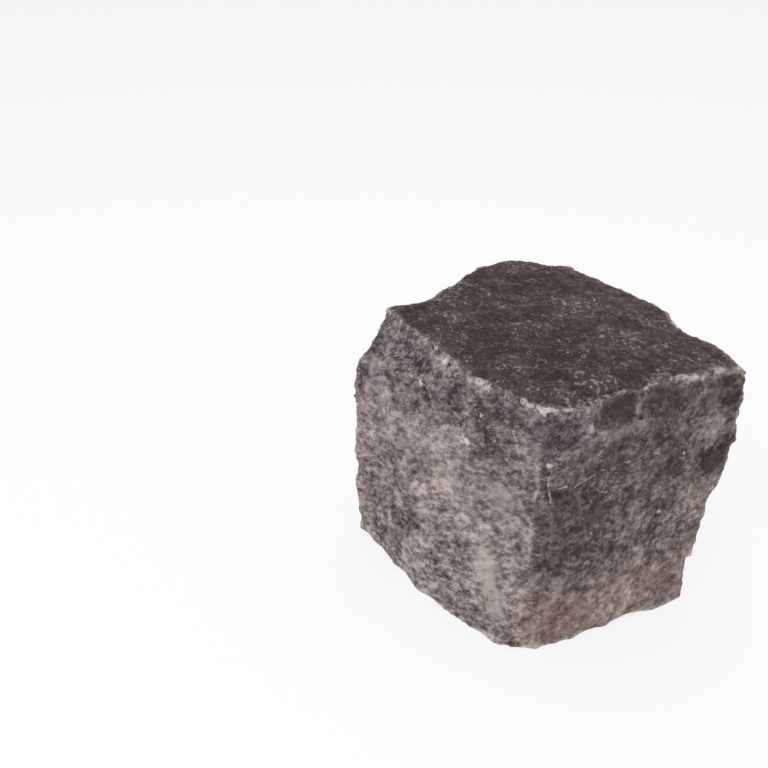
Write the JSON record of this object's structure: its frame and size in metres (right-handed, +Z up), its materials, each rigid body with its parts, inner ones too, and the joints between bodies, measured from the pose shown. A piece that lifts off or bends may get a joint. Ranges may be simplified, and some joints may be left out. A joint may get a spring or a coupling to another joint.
{
  "type": "basalt cobblestone",
  "caption": "Hand-split basalt cobblestone for paving: a rough cube with a level head, a flat bed, cleft flanks and chipped edges.",
  "frame": {"origin": "on the bed, the flat face that the stone rests on, near its middle", "axes": "+Z up through the head, +Y along the longer flanks away from the front end, +X towards the right flank"},
  "size_m": [0.1709, 0.19, 0.16],
  "materials": {
    "basalt": "natural split, matt"
  },
  "bodies": {
    "root": {"cobblestone": "basalt"}
  },
  "joints": []
}
